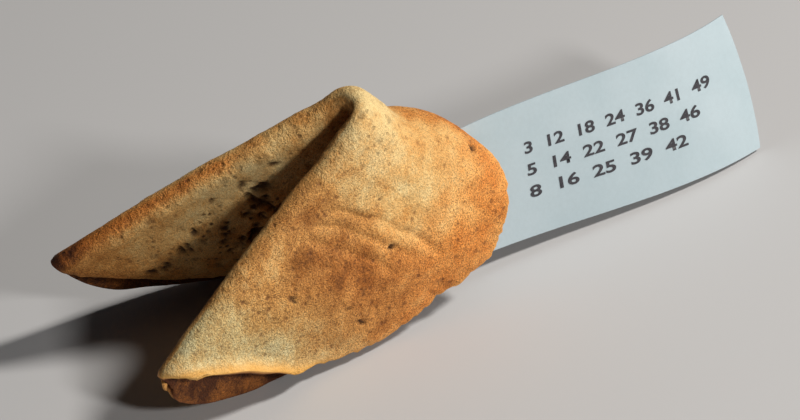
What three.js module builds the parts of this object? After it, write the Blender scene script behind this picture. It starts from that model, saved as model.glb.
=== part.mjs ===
// A fortune cookie with its paper slip: one round wafer folded in half, then bent over its middle so that two
// wings stand side by side. Millimetres, +Z up. The tips of the wings point to -Y, the bend's spine to +Y, the
// near wing lies on +X and the far wing on -X. The cookie rests on the rims of its two wings.
import * as THREE from 'three';

// Wafer
const WAFER_RADIUS = 39;
const WAFER_THICKNESS = 1.3;
const RIM_THICKNESS = 1.0;
const FAR_ARM_GROWTH = 0.08;
const FAR_ARM_GROWS_FROM = 90;
const FAR_ARM_GROWN_AT = 150;

// Fold across the wafer: a hairpin, widest at the middle of the fold
const FOLD_RADIUS_MIDDLE = 1.4;
const FOLD_RADIUS_TIP = 1.0;
const FOLD_BOW = 1.0;
const FOLD_ANGLE_PAST_SQUARE = 15.5;
const FOLD_CORNER_ROUNDING = 3;
const FOLD_BOW_LEFT_AT_RIM = 0.2;

// Bend of the folded wafer over its middle
const HALF_OPENING = 15.2;
const SPINE_DIP = 44.2;
const BEND_RADIUS_AT_FOLD = 2.4;
const BEND_RADIUS_OUTER_RIM = 4.4;
const BEND_RADIUS_INNER_RIM = 2.2;
const BEND_GROWS_OVER = 30;
const PINCH_LIFT = 0.35;
const PINCH_WIDTH = 5;
const PINCH_LIFT_LEFT = 0.4;
const PINCH_FADES_FROM = 2;
const PINCH_FADED_AT = 10;

// Bellies of the two layers and the gap between their rims
const OUTER_BELLY = 3.0;
const INNER_BELLY = 1.2;
const BELLY_SKEW = 1.1;
const BELLY_STARTS_AT = 0.3;
const BELLY_FULL_AT = 12;
const BELLY_FLAT_OVER_BEND = 9;
const OUTER_BELLY_LEFT_OVER_BEND = 0.2;
const RIM_GAP = 1.8;
const RIM_GAP_FROM_SHARE = 0.5;
const RIM_GAP_STARTS_AT = 1;
const RIM_GAP_FULL_AT = 6;
const POCKET_GAP = 2.2;
const POCKET_ANGLE = 68;
const POCKET_SPREAD = 30;
const POCKET_STARTS_AT = -2;
const POCKET_FULL_AT = 6;
const SPINE_RISE_OUTER = 1.8;
const SPINE_RISE_STARTS_AT = 8;
const SPINE_RISE_FULL_AT = 20;
const SPINE_RISE_STATION = -1;
const SPINE_SADDLE = 0.9;
const SPINE_SADDLE_AT = 8;
const SPINE_SADDLE_LENGTH = 4;
const SPINE_SAG_INNER = 4.0;
const SPINE_SAG_STARTS_AT = 4;
const SPINE_SAG_FULL_AT = 27;
const SPINE_SAG_STATION = -2;
const SPINE_SHAPE_WIDTH = 7;

// Rim: distance from the wafer's middle as a share of the radius, by angle from the near tip round to the far tip
const OUTER_RIM = [[0, 1], [15, 0.943], [30, 0.938], [50, 0.866], [70, 0.765],
  [80, 0.59], [90, 0.43], [110, 0.57], [135, 0.97], [160, 1.08], [180, 1]];
const INNER_RIM = [[0, 1], [15, 0.943], [30, 0.938], [50, 0.866], [70, 0.765],
  [90, 0.60], [110, 0.64], [135, 0.90], [160, 1.03], [180, 1]];
const INNER_LIP_NEAR = 4.5;
const INNER_LIP_NEAR_ANGLE = 14;
const INNER_LIP_SPREAD = 14;
const INNER_LIP_FULL_FROM = 5;
const INNER_STEP_FAR = 4.0;
const INNER_STEP_FAR_ANGLE = 150;
const INNER_STEP_SPREAD = 20;

// Unevenness of the rim, by angle, and of the two layers, by station and distance from the fold
const RIM_RIPPLE = 0.25;
const RIM_RIPPLE_TURNS = 0.31;
const RIM_SHORT_RIPPLE_SHARE = 0.6;
const RIM_SHORT_RIPPLE_TURNS = 0.73;
const RIM_EVEN_NEAR_TIPS = 0.3;
const SURFACE_RIPPLE = 0.16;
const SURFACE_RIPPLE_ALONG = 0.55;
const SURFACE_RIPPLE_ACROSS = 0.42;
const SURFACE_RIPPLE_SLANT = 0.2;
const SURFACE_RIPPLE_LAYER_STEP = 0.8;
const SURFACE_RIPPLE_STARTS_AT = 3;
const SURFACE_RIPPLE_FULL_AT = 9;

// Resting
const LEAN = 12.2;
const REST_FLAT_DEPTH = 0.45;

// Paper slip
const SLIP_WIDTH = 18;
const SLIP_THICKNESS = 0.2;
const SLIP_INSIDE = 8;
const SLIP_OUTSIDE = 52.5;
const SLIP_ALONG_WING = 12.9;
const SLIP_ALONG_SPINE = 13.5;
const SLIP_OFFSET = 0.3;
const SLIP_TURN = 39.7;
const SLIP_LEAN_IN = 5.2;
const SLIP_CURL_FROM = 6;
const SLIP_CURL = 0.0238;
const SLIP_CURL_FADE = 0.0011;
const SLIP_TWIST_START = 2.4;
const SLIP_TWIST_PER_MM = 0.38;

// Mesh density
const STATIONS = 56;
const HAIRPIN_STEPS = 4;
const FLANK_STEPS = 11;
const TIP_ANGLE = 3.6;
const STATION_CROWDING = 0.5;
const SLIP_LENGTH_STEPS = 60;
const SLIP_WIDTH_STEPS = 6;

const radians = THREE.MathUtils.degToRad;
const AXIS_X = new THREE.Vector3(1, 0, 0);
const AXIS_Y = new THREE.Vector3(0, 1, 0);
const SPINE_WAY = new THREE.Vector3(0, Math.cos(radians(SPINE_DIP)), -Math.sin(radians(SPINE_DIP)));
const CREST_WAY = new THREE.Vector3(0, Math.sin(radians(SPINE_DIP)), Math.cos(radians(SPINE_DIP)));
const BEND_TURN = radians(90 - HALF_OPENING);

const clamp = THREE.MathUtils.clamp;
const smooth = (x, from, to) => THREE.MathUtils.smoothstep(x, from, to);
const bell = (x, middle, width) => Math.exp(-(((x - middle) / width) ** 2));

// A smooth curve through [angle, value] points.
function curveThrough(points, x) {
  const last = points.length - 2;
  let i = 0;
  while (i < last && x > points[i + 1][0]) {
    i += 1;
  }
  const slope = (k) => {
    const before = points[Math.max(k - 1, 0)];
    const after = points[Math.min(k + 1, points.length - 1)];
    return (after[1] - before[1]) / (after[0] - before[0]);
  };
  const [x0, y0] = points[i];
  const [x1, y1] = points[i + 1];
  const span = x1 - x0;
  const s = clamp((x - x0) / span, 0, 1);
  const ease = s * s * (3 - 2 * s);
  const rise0 = s * (1 - s) * (1 - s) * span * slope(i);
  const rise1 = s * s * (s - 1) * span * slope(i + 1);
  return y0 + (y1 - y0) * ease + rise0 + rise1;
}

function armLength(angle) {
  return WAFER_RADIUS * (1 + FAR_ARM_GROWTH * smooth(angle, FAR_ARM_GROWS_FROM, FAR_ARM_GROWN_AT));
}

// Distance from the wafer's middle to the rim of the outer (+1) or inner (-1) layer, in a given direction.
function rimRadius(angle, layer) {
  const share = curveThrough(layer > 0 ? OUTER_RIM : INNER_RIM, angle);
  let radius = WAFER_RADIUS * share;
  if (layer < 0) {
    const lip = bell(angle, INNER_LIP_NEAR_ANGLE, INNER_LIP_SPREAD) * smooth(angle, 0, INNER_LIP_FULL_FROM);
    radius += INNER_LIP_NEAR * lip;
    radius -= INNER_STEP_FAR * bell(angle, INNER_STEP_FAR_ANGLE, INNER_STEP_SPREAD);
  }
  const fromTips = smooth(Math.sin(radians(angle)), 0, RIM_EVEN_NEAR_TIPS);
  const longRipple = Math.sin(RIM_RIPPLE_TURNS * angle + layer);
  const shortRipple = RIM_SHORT_RIPPLE_SHARE * Math.sin(RIM_SHORT_RIPPLE_TURNS * angle + 2 * layer);
  return radius * armLength(angle) / WAFER_RADIUS + RIM_RIPPLE * (longRipple + shortRipple) * fromTips;
}

// How far a layer stands off the middle surface of the folded wafer.
function standOff(station, fromFold, share, foldRadius, hairpin, layer, angle, span) {
  const pinch = bell(station, 0, PINCH_WIDTH);
  const overBend = bell(station, 0, BELLY_FLAT_OVER_BEND);
  const wing = clamp(1 - (station / span) ** 2, 0, 1);
  const body = Math.sin(Math.PI * share ** BELLY_SKEW) * smooth(fromFold, BELLY_STARTS_AT, BELLY_FULL_AT) * wing;
  const belly = layer > 0
    ? OUTER_BELLY * (1 - (1 - OUTER_BELLY_LEFT_OVER_BEND) * overBend)
    : INNER_BELLY * (1 - overBend);
  const towardsRim = smooth(share, RIM_GAP_FROM_SHARE, 1) * smooth(fromFold, RIM_GAP_STARTS_AT, RIM_GAP_FULL_AT);
  const nearWing = smooth(-station, POCKET_STARTS_AT, POCKET_FULL_AT);
  const pocket = layer > 0 ? POCKET_GAP * nearWing * bell(angle, POCKET_ANGLE, POCKET_SPREAD) : 0;
  const fold = foldRadius * Math.sin(hairpin) * (1 - towardsRim);
  const rim = (RIM_GAP / 2 + pocket) * towardsRim;
  const rippleAlong = Math.sin(SURFACE_RIPPLE_ALONG * station + SURFACE_RIPPLE_LAYER_STEP * layer);
  const rippleAcross = Math.cos(SURFACE_RIPPLE_ACROSS * fromFold + SURFACE_RIPPLE_SLANT * station);
  const rippleStarts = smooth(fromFold, SURFACE_RIPPLE_STARTS_AT, SURFACE_RIPPLE_FULL_AT);
  const ripple = SURFACE_RIPPLE * rippleAlong * rippleAcross * rippleStarts;
  const pinchFade = (1 - PINCH_LIFT_LEFT) * smooth(fromFold, PINCH_FADES_FROM, PINCH_FADED_AT);
  return PINCH_LIFT * pinch * (1 - pinchFade) + layer * (fold + rim + belly * body) + ripple;
}

// A point of the wafer's middle surface: rim angle of the station, distance from the fold, and layer.
function waferPoint(angle, share, layer) {
  const reach = rimRadius(angle, layer);
  const span = armLength(angle);
  const foldStation = -span * Math.cos(radians(angle));
  const rimStation = -reach * Math.cos(radians(angle));
  const station = foldStation + (rimStation - foldStation) * share * share;
  const fromFold = reach * Math.sin(radians(angle)) * share;
  const along = clamp(Math.abs(station) / span, 0, 1);
  const foldRadius = FOLD_RADIUS_MIDDLE + (FOLD_RADIUS_TIP - FOLD_RADIUS_MIDDLE) * along * along;
  const quarter = foldRadius * Math.PI / 2;
  const hairpin = Math.min(fromFold, quarter) / foldRadius;
  const straight = Math.max(fromFold - quarter, 0);
  const bow = FOLD_BOW * 4 * along * (1 - along) * (1 - (1 - FOLD_BOW_LEFT_AT_RIM) * share);
  const pastCorner = Math.hypot(station, FOLD_CORNER_ROUNDING) - FOLD_CORNER_ROUNDING;
  const shear = Math.tan(radians(FOLD_ANGLE_PAST_SQUARE)) * pastCorner;
  const alongSpine = foldRadius * (1 - Math.cos(hairpin)) + straight - shear - bow;
  const off = standOff(station, fromFold, share, foldRadius, hairpin, layer, angle, span);

  const rimBend = layer > 0 ? BEND_RADIUS_OUTER_RIM : BEND_RADIUS_INNER_RIM;
  const bendRadius = BEND_RADIUS_AT_FOLD + (rimBend - BEND_RADIUS_AT_FOLD) * smooth(fromFold, 0, BEND_GROWS_OVER);
  const bendLength = bendRadius * BEND_TURN;
  const turn = clamp(station / bendLength, -1, 1) * BEND_TURN;
  const past = Math.max(Math.abs(station) - bendLength, 0);
  const rise = smooth(fromFold, SPINE_RISE_STARTS_AT, SPINE_RISE_FULL_AT)
    * bell(station, SPINE_RISE_STATION, SPINE_SHAPE_WIDTH);
  const sag = smooth(fromFold, SPINE_SAG_STARTS_AT, SPINE_SAG_FULL_AT)
    * bell(station, SPINE_SAG_STATION, SPINE_SHAPE_WIDTH);
  const saddle = bell(fromFold, SPINE_SADDLE_AT, SPINE_SADDLE_LENGTH) * bell(station, 0, PINCH_WIDTH);
  const crestShift = layer > 0 ? SPINE_RISE_OUTER * rise - SPINE_SADDLE * saddle : -SPINE_SAG_INNER * sag;
  const across = -(bendRadius + off) * Math.sin(turn) - Math.sign(station) * past * Math.cos(BEND_TURN);
  const drop = bendRadius * (1 - Math.cos(turn)) + past * Math.sin(BEND_TURN);
  const up = off * Math.cos(turn) - drop + crestShift;
  return new THREE.Vector3()
    .addScaledVector(AXIS_X, across)
    .addScaledVector(SPINE_WAY, alongSpine)
    .addScaledVector(CREST_WAY, up);
}

// Shares of the way from the fold to the rim: close together round the hairpin, then even.
function columnShares(angle, layer) {
  const reach = rimRadius(angle, layer) * Math.sin(radians(angle));
  const hairpinShare = Math.min(FOLD_RADIUS_MIDDLE * Math.PI / 2 / reach, 0.5);
  const shares = [];
  for (let i = 0; i <= HAIRPIN_STEPS; i += 1) {
    shares.push(hairpinShare * i / HAIRPIN_STEPS);
  }
  for (let i = 1; i <= FLANK_STEPS; i += 1) {
    shares.push(hairpinShare + (1 - hairpinShare) * i / FLANK_STEPS);
  }
  return shares;
}

// Stations along the fold, closer together at the bend and at the tips.
function stationAngle(i) {
  const q = 2 * i / STATIONS - 1;
  const eased = (1 - STATION_CROWDING) * q + STATION_CROWDING * Math.sign(q) * Math.abs(q) ** 2;
  return 90 + (90 - TIP_ANGLE) * eased;
}

function waferGrid() {
  const rows = [];
  for (let i = 0; i <= STATIONS; i += 1) {
    const angle = stationAngle(i);
    const inner = columnShares(angle, -1).reverse().map((share) => waferPoint(angle, share, -1));
    const outer = columnShares(angle, 1).slice(1).map((share) => waferPoint(angle, share, 1));
    rows.push([...inner, ...outer]);
  }
  return rows;
}

// A closed solid from a grid of middle points: two skins half a thickness off, joined round the edge.
function thickSheet(rows, thicknessAt) {
  const n = rows.length;
  const m = rows[0].length;
  const upper = [];
  const lower = [];
  for (let i = 0; i < n; i += 1) {
    for (let j = 0; j < m; j += 1) {
      const alongRows = rows[Math.min(i + 1, n - 1)][j].clone().sub(rows[Math.max(i - 1, 0)][j]);
      const alongColumns = rows[i][Math.min(j + 1, m - 1)].clone().sub(rows[i][Math.max(j - 1, 0)]);
      const normal = alongColumns.cross(alongRows).normalize();
      const half = thicknessAt(i, j) / 2;
      upper.push(rows[i][j].clone().addScaledVector(normal, half));
      lower.push(rows[i][j].clone().addScaledVector(normal, -half));
    }
  }
  const points = [...upper, ...lower];
  const under = n * m;
  const faces = [];
  const quad = (a, b, c, d) => faces.push([a, b, c], [a, c, d]);
  for (let i = 0; i < n - 1; i += 1) {
    for (let j = 0; j < m - 1; j += 1) {
      const a = i * m + j;
      quad(a, a + 1, a + m + 1, a + m);
      quad(under + a, under + a + m, under + a + m + 1, under + a + 1);
    }
  }
  const edge = [];
  for (let j = 0; j < m - 1; j += 1) {
    edge.push([j, j + 1]);
  }
  for (let i = 0; i < n - 1; i += 1) {
    edge.push([i * m + m - 1, (i + 1) * m + m - 1]);
  }
  for (let j = m - 1; j > 0; j -= 1) {
    edge.push([(n - 1) * m + j, (n - 1) * m + j - 1]);
  }
  for (let i = n - 1; i > 0; i -= 1) {
    edge.push([i * m, (i - 1) * m]);
  }
  for (const [a, b] of edge) {
    quad(a, under + a, under + b, b);
  }
  return { points, faces };
}

function geometryOf({ points, faces }) {
  const geometry = new THREE.BufferGeometry();
  geometry.setAttribute('position', new THREE.Float32BufferAttribute(points.flatMap((p) => p.toArray()), 3));
  geometry.setIndex(faces.flat());
  geometry.computeVertexNormals();
  return geometry;
}

function makeCookie() {
  const rows = waferGrid();
  const columns = rows[0].length;
  const thicknessAt = (i, j) => {
    const fromRim = Math.min(j, columns - 1 - j, i, STATIONS - i);
    return fromRim === 0 ? RIM_THICKNESS : WAFER_THICKNESS;
  };
  return thickSheet(rows, thicknessAt);
}

// The slip stands on its long edge in the near wing's pocket and curls outwards past the rim.
function slipPoint(along, acrossSlip) {
  const arm = new THREE.Vector3()
    .addScaledVector(AXIS_X, Math.sin(radians(HALF_OPENING)))
    .addScaledVector(CREST_WAY, -Math.cos(radians(HALF_OPENING)));
  const outward = new THREE.Vector3()
    .addScaledVector(AXIS_X, Math.cos(radians(HALF_OPENING)))
    .addScaledVector(CREST_WAY, Math.sin(radians(HALF_OPENING)));
  const bendLength = BEND_RADIUS_AT_FOLD * BEND_TURN;
  const wingStart = new THREE.Vector3()
    .addScaledVector(AXIS_X, BEND_RADIUS_AT_FOLD * Math.sin(BEND_TURN) - bendLength * Math.cos(BEND_TURN))
    .addScaledVector(CREST_WAY, bendLength * Math.sin(BEND_TURN) - BEND_RADIUS_AT_FOLD * (1 - Math.cos(BEND_TURN)));
  const turn = radians(SLIP_TURN);
  const lengthWay = SPINE_WAY.clone().multiplyScalar(Math.cos(turn)).addScaledVector(arm, -Math.sin(turn));
  const widthWay = SPINE_WAY.clone().multiplyScalar(Math.sin(turn)).addScaledVector(arm, Math.cos(turn));
  const outside = Math.max(along - SLIP_CURL_FROM, 0);
  const twist = radians(SLIP_TWIST_START + SLIP_TWIST_PER_MM * outside);
  const curl = SLIP_CURL * outside ** 2 / 2 - SLIP_CURL_FADE * outside ** 3 / 6;
  const offSheet = curl + acrossSlip * Math.sin(twist);
  const leanIn = radians(SLIP_LEAN_IN);
  return wingStart
    .addScaledVector(arm, SLIP_ALONG_WING)
    .addScaledVector(SPINE_WAY, SLIP_ALONG_SPINE)
    .addScaledVector(outward, SLIP_OFFSET - along * Math.sin(leanIn) + offSheet * Math.cos(leanIn))
    .addScaledVector(lengthWay, along * Math.cos(leanIn) + offSheet * Math.sin(leanIn))
    .addScaledVector(widthWay, acrossSlip * Math.cos(twist));
}

function makeSlip() {
  const rows = [];
  for (let i = 0; i <= SLIP_LENGTH_STEPS; i += 1) {
    const along = -SLIP_INSIDE + (SLIP_INSIDE + SLIP_OUTSIDE) * i / SLIP_LENGTH_STEPS;
    const row = [];
    for (let j = 0; j <= SLIP_WIDTH_STEPS; j += 1) {
      row.push(slipPoint(along, SLIP_WIDTH * (j / SLIP_WIDTH_STEPS - 0.5)));
    }
    rows.push(row);
  }
  return thickSheet(rows, () => SLIP_THICKNESS);
}

const cookie = makeCookie();
const slip = makeSlip();
const everyPoint = [...cookie.points, ...slip.points];

// Stand both wings on the floor, press a small flat into each rim and centre the whole over the origin.
everyPoint.forEach((p) => p.applyAxisAngle(AXIS_Y, radians(LEAN)));
const lowest = Math.min(...cookie.points.map((p) => p.z));
everyPoint.forEach((p) => {
  p.z -= lowest + REST_FLAT_DEPTH;
});
cookie.points.forEach((p) => {
  p.z = Math.max(p.z, 0);
});
const box = new THREE.Box3().setFromPoints(everyPoint);
const middle = box.getCenter(new THREE.Vector3());
everyPoint.forEach((p) => {
  p.x -= middle.x;
  p.y -= middle.y;
});

const wafer = new THREE.MeshStandardMaterial({ color: 0xc98f4b, roughness: 0.75, metalness: 0 });
const paper = new THREE.MeshStandardMaterial({ color: 0xdfe4ea, roughness: 0.85, metalness: 0 });

const cookieMesh = new THREE.Mesh(geometryOf(cookie), wafer);
cookieMesh.name = 'cookie';
const slipMesh = new THREE.Mesh(geometryOf(slip), paper);
slipMesh.name = 'fortune_slip';

const group = new THREE.Group();
group.add(cookieMesh, slipMesh);

export default group;
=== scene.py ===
import math
import random

import bpy
from mathutils import Matrix, Vector, kdtree, noise


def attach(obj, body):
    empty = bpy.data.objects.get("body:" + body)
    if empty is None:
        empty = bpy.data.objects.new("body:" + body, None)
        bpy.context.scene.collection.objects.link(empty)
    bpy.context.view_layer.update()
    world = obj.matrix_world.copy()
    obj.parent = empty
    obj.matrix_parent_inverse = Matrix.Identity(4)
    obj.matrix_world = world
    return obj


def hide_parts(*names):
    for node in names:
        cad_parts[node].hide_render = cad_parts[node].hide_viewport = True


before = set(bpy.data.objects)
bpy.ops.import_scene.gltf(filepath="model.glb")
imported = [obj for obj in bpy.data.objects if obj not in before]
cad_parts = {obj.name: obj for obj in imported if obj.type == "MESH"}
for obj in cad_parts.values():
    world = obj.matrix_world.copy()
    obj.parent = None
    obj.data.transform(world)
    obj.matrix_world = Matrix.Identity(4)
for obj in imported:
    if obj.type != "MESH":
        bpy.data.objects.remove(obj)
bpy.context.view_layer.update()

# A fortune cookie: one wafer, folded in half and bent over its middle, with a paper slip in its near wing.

MM = 0.001

# ---------------------------------------------------------------- sizes, in millimetres and degrees
# Stations run along the fold from its middle: negative on the near wing, positive on the far wing.
# Angles run round the wafer from the near tip, past the middle of its rim at 90, to the far tip at 180.
# A pair that ends in OVER is where a change starts and ends, one that ends in AT a bump's middle and width.

# Wafer
WAFER_RADIUS = 39.0
WAFER_THICKNESS = 1.3
FAR_ARM_GROWTH = 0.08
FAR_ARM_GROWTH_OVER = (90, 150)

# Fold across the wafer
FOLD_RADIUS_MIDDLE = 1.4
FOLD_RADIUS_TIP = 1.0
FOLD_BOW = 1.0
FOLD_BOW_LOST_AT_RIM = 0.8
FOLD_ANGLE_PAST_SQUARE = 15.5
FOLD_CORNER_EASE = 3.0

# Bend of the folded wafer over its middle
HALF_OPENING = 15.2
SPINE_DIP = 44.2
BEND_RADIUS_AT_FOLD = 2.4
BEND_RADIUS_OUTER_RIM = 4.4
BEND_RADIUS_INNER_RIM = 2.2
BEND_RADIUS_OVER = (0, 30)
PINCH_WIDTH = 5.0
PINCH_REACH = 9.0
PINCH_LIFT = 0.35
PINCH_LIFT_LOST = 0.6
PINCH_LIFT_LOST_OVER = (2, 10)
CREST_SQUEEZE = 0.65
CREST_SQUEEZE_AT = (0, 4)
CREST_FORWARD = 1.1
CREST_FORWARD_AT = (-1.5, 4.5)
CREST_FORWARD_LOST_OVER = (0, 10)

# Bellies of the two layers and the gap between their rims
OUTER_BELLY = 3.0
OUTER_BELLY_LOST_AT_PINCH = 0.8
INNER_BELLY = 1.2
INNER_BELLY_FAR = 2.4
INNER_BELLY_FAR_OVER = (4, 14)
BELLY_TOWARDS_RIM = 1.1
BELLY_OVER = (0.3, 12)
RIM_GAP = 1.8
RIM_GAP_OVER = (1, 6)
RIM_GAP_SHARE_OVER = (0.5, 1)
POCKET_GAP = 2.2
POCKET_AT = (68, 30)
POCKET_OVER = (-2, 6)
SPINE_RISE_OUTER = 0.3
SPINE_RISE_OVER = (8, 20)
SPINE_RISE_AT = (-1, 7)
SPINE_SADDLE = 1.4
SPINE_SADDLE_AT = (8, 4)
SPINE_SAG_INNER = 4.0
SPINE_SAG_OVER = (4, 27)
SPINE_SAG_AT = (-2, 7)

# Rim: distance from the wafer's middle as a share of the radius, by angle
OUTER_RIM = [(0, 1), (15, 0.943), (30, 0.938), (50, 0.866), (70, 0.765),
             (80, 0.59), (90, 0.43), (110, 0.57), (135, 0.97), (160, 1.08), (180, 1)]
INNER_RIM = [(0, 1), (15, 0.943), (30, 0.938), (50, 0.866), (70, 0.765),
             (90, 0.60), (110, 0.64), (135, 0.90), (160, 1.03), (180, 1)]
INNER_LIP_NEAR = 4.5
INNER_LIP_NEAR_AT = (14, 14)
INNER_LIP_NEAR_OVER = (0, 8)
INNER_STEP_FAR = 4.0
INNER_STEP_FAR_AT = (150, 20)
INNER_LIP_FAR_SHORT = 1.6
INNER_LIP_FAR_AT = (168, 10)
OUTER_TRIM = [(0, 0), (30, -0.3), (45, -0.7), (60, -1.3), (70, 0.4), (80, 1.7), (90, 1.2),
              (100, 0.5), (115, 0), (180, 0)]
RIM_ROUNDING = 0.55
RIM_LEFT_AT_EDGE = 0.55
LIP_LEFT_AT_EDGE = 0.92

# Lip of the outer layer over the near mouth
MOUTH_WIDTH = 0.5
MOUTH_AT = (15, 12)
MOUTH_OVER = (0, 4)
MOUTH_FLARE = 1.5
MOUTH_FLARE_DEPTH = 2.6
LIP_TURNED_BACK = 1.3
LIP_BACK_AT = (9, 16)

# Ripples and nibbles: height, waves for each degree or millimetre, places in the noise, and where they fade
RIM_RIPPLE = 0.25
RIM_RIPPLE_WAVES = (0.31, 0.73)
RIM_RIPPLE_FINE_SHARE = 0.6
RIM_RIPPLE_SINE_OVER = (0.1, 0.5)
RIM_NIBBLE = 0.5
RIM_NIBBLE_WAVES = (0.42, 0.95)
RIM_NIBBLE_WIDE_SHARE = 0.6
RIM_NIBBLE_WIDE_PLACE = (7.3, 1.7)
RIM_NIBBLE_FINE_PLACE = 3.1
RIM_NIBBLE_SINE_OVER = (0.3, 0.7)
SURFACE_RIPPLE = 0.16
SURFACE_RIPPLE_ALONG = 0.55
SURFACE_RIPPLE_DOWN = 0.42
SURFACE_RIPPLE_SLANT = 0.2
SURFACE_RIPPLE_LAYER_SHIFT = 0.8
SURFACE_RIPPLE_OVER = (3, 9)

# Resting
LEAN = 12.2
CREST_AT = Vector((6.095, -9.608, 30.109))

# Paper slip
SLIP_WIDTH = 18.0
SLIP_THICKNESS = 0.14
SLIP_INSIDE = 8.0
SLIP_OUTSIDE = 52.5
SLIP_ALONG_WING = 12.9
SLIP_ALONG_SPINE = 13.5
SLIP_OFFSET = 0.3
SLIP_TURN = 39.7
SLIP_LEAN_IN = 5.2
SLIP_CURL_FROM = 6.0
SLIP_CURL = 0.0238
SLIP_CURL_FADE = 0.0011
SLIP_TWIST_START = 2.4
SLIP_TWIST_PER_MM = 0.38
SLIP_COCKLE = 0.05
SLIP_COCKLE_WAVES = (0.13, 0.2)
SLIP_COCKLE_PLACE = 4
SLIP_END_BULGE = 0.9
SLIP_END_BULGE_OVER = (42, SLIP_OUTSIDE)

# Numbers on the slip: text, printed length and place across the slip of each row
NUMBER_ROWS = [("3  12  18  24  36  41  49", 27.0, -2.2), ("5  14  22  27  38  46", 24.6, 0.8),
               ("8  16  25  39  42", 22.0, 3.8)]
NUMBER_SIZE = 2.15
NUMBER_BOLDNESS = 0.05
NUMBER_LIFT = 0.045
NUMBER_START = 20.0
NUMBER_ROW_SLOPE = 0.018
NUMBER_CURVE_STEPS = 5

# Mesh density
STATIONS = 228
COLUMNS = 196
HAIRPIN_SHARE_OF_COLUMNS = 0.13
HAIRPIN_SHARE_LIMIT = 0.5
COLUMNS_TOWARDS_RIM = 1.3
ROWS_TOWARDS_BACK = 0.5
TIP_ANGLE = 3.6
ROW_FAN = 0.28
ROW_FAN_OVER = 26.0
SLIP_COLUMNS = 24
SLIP_ROWS = 160
SLIP_NORMAL_STEP = 0.2
SLIP_SMOOTH_BELOW = 40

AXIS_X = Vector((1, 0, 0))
SPINE_WAY = Vector((0, math.cos(math.radians(SPINE_DIP)), -math.sin(math.radians(SPINE_DIP))))
CREST_WAY = Vector((0, math.sin(math.radians(SPINE_DIP)), math.cos(math.radians(SPINE_DIP))))
BEND_TURN = math.radians(90 - HALF_OPENING)
LEAN_TURN = Matrix.Rotation(math.radians(LEAN), 3, "Y")


# ---------------------------------------------------------------- shape functions
def clamp(x, low, high):
    return min(max(x, low), high)


def smooth(x, start, stop):
    s = clamp((x - start) / (stop - start), 0, 1)
    return s * s * (3 - 2 * s)


def bell(x, middle, width):
    return math.exp(-(((x - middle) / width) ** 2))


def curve_through(points, x):
    last = len(points) - 2
    i = 0
    while i < last and x > points[i + 1][0]:
        i += 1

    def slope(k):
        before = points[max(k - 1, 0)]
        after = points[min(k + 1, len(points) - 1)]
        return (after[1] - before[1]) / (after[0] - before[0])

    x0, y0 = points[i]
    x1, y1 = points[i + 1]
    span = x1 - x0
    s = clamp((x - x0) / span, 0, 1)
    ease = s * s * (3 - 2 * s)
    rise0 = s * (1 - s) * (1 - s) * span * slope(i)
    rise1 = s * s * (s - 1) * span * slope(i + 1)
    return y0 + (y1 - y0) * ease + rise0 + rise1


def arm_length(angle):
    return WAFER_RADIUS * (1 + FAR_ARM_GROWTH * smooth(angle, *FAR_ARM_GROWTH_OVER))


def rim_radius(angle, layer):
    """Distance from the wafer's middle to the rim of the outer (+1) or inner (-1) layer."""
    radius = WAFER_RADIUS * curve_through(OUTER_RIM if layer > 0 else INNER_RIM, angle)
    if layer < 0:
        radius += INNER_LIP_NEAR * bell(angle, *INNER_LIP_NEAR_AT) * smooth(angle, *INNER_LIP_NEAR_OVER)
        radius -= INNER_STEP_FAR * bell(angle, *INNER_STEP_FAR_AT)
        radius -= INNER_LIP_FAR_SHORT * bell(angle, *INNER_LIP_FAR_AT)
    else:
        radius -= LIP_TURNED_BACK * bell(angle, *LIP_BACK_AT)
        radius += curve_through(OUTER_TRIM, angle)
    sine = math.sin(math.radians(angle))
    wide, fine = RIM_RIPPLE_WAVES
    ripple = math.sin(wide * angle + layer) + RIM_RIPPLE_FINE_SHARE * math.sin(fine * angle + 2 * layer)
    wide, fine = RIM_NIBBLE_WAVES
    side_place, height_place = RIM_NIBBLE_WIDE_PLACE
    nibble = RIM_NIBBLE_WIDE_SHARE * noise.noise(Vector((angle * wide, side_place * layer, height_place)))
    nibble += noise.noise(Vector((angle * fine, RIM_NIBBLE_FINE_PLACE, layer)))
    nibble *= smooth(sine, *RIM_NIBBLE_SINE_OVER)
    uneven = RIM_RIPPLE * ripple * smooth(sine, *RIM_RIPPLE_SINE_OVER) + RIM_NIBBLE * nibble
    return radius * arm_length(angle) / WAFER_RADIUS + uneven


def lip_flare(station, from_fold):
    """The near mouth's outer lip turns outwards close to its rim."""
    direction = math.degrees(math.atan2(from_fold, -station))
    turned_back = LIP_TURNED_BACK * bell(direction, *LIP_BACK_AT)
    rim_here = WAFER_RADIUS * curve_through(OUTER_RIM, direction) - turned_back
    near_rim = 1 - clamp((rim_here - math.hypot(station, from_fold)) / MOUTH_FLARE_DEPTH, 0, 1)
    return MOUTH_FLARE * near_rim ** 2 * bell(direction, *MOUTH_AT) * smooth(direction, *MOUTH_OVER)


def on_lip(station, fold_side):
    """How far a place belongs to the thick lip over the near mouth, from 0 to 1."""
    if station > 0 or fold_side < 0:
        return 0
    direction = math.degrees(math.atan2(fold_side, -station))
    return smooth(direction, *MOUTH_OVER) * bell(direction, *MOUTH_AT)


def surface_ripple(station, from_fold, layer):
    """Soft waves of the sheet, which fade towards the fold."""
    along = math.sin(SURFACE_RIPPLE_ALONG * station + SURFACE_RIPPLE_LAYER_SHIFT * layer)
    down = math.cos(SURFACE_RIPPLE_DOWN * from_fold + SURFACE_RIPPLE_SLANT * station)
    return SURFACE_RIPPLE * along * down * smooth(from_fold, *SURFACE_RIPPLE_OVER)


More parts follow.
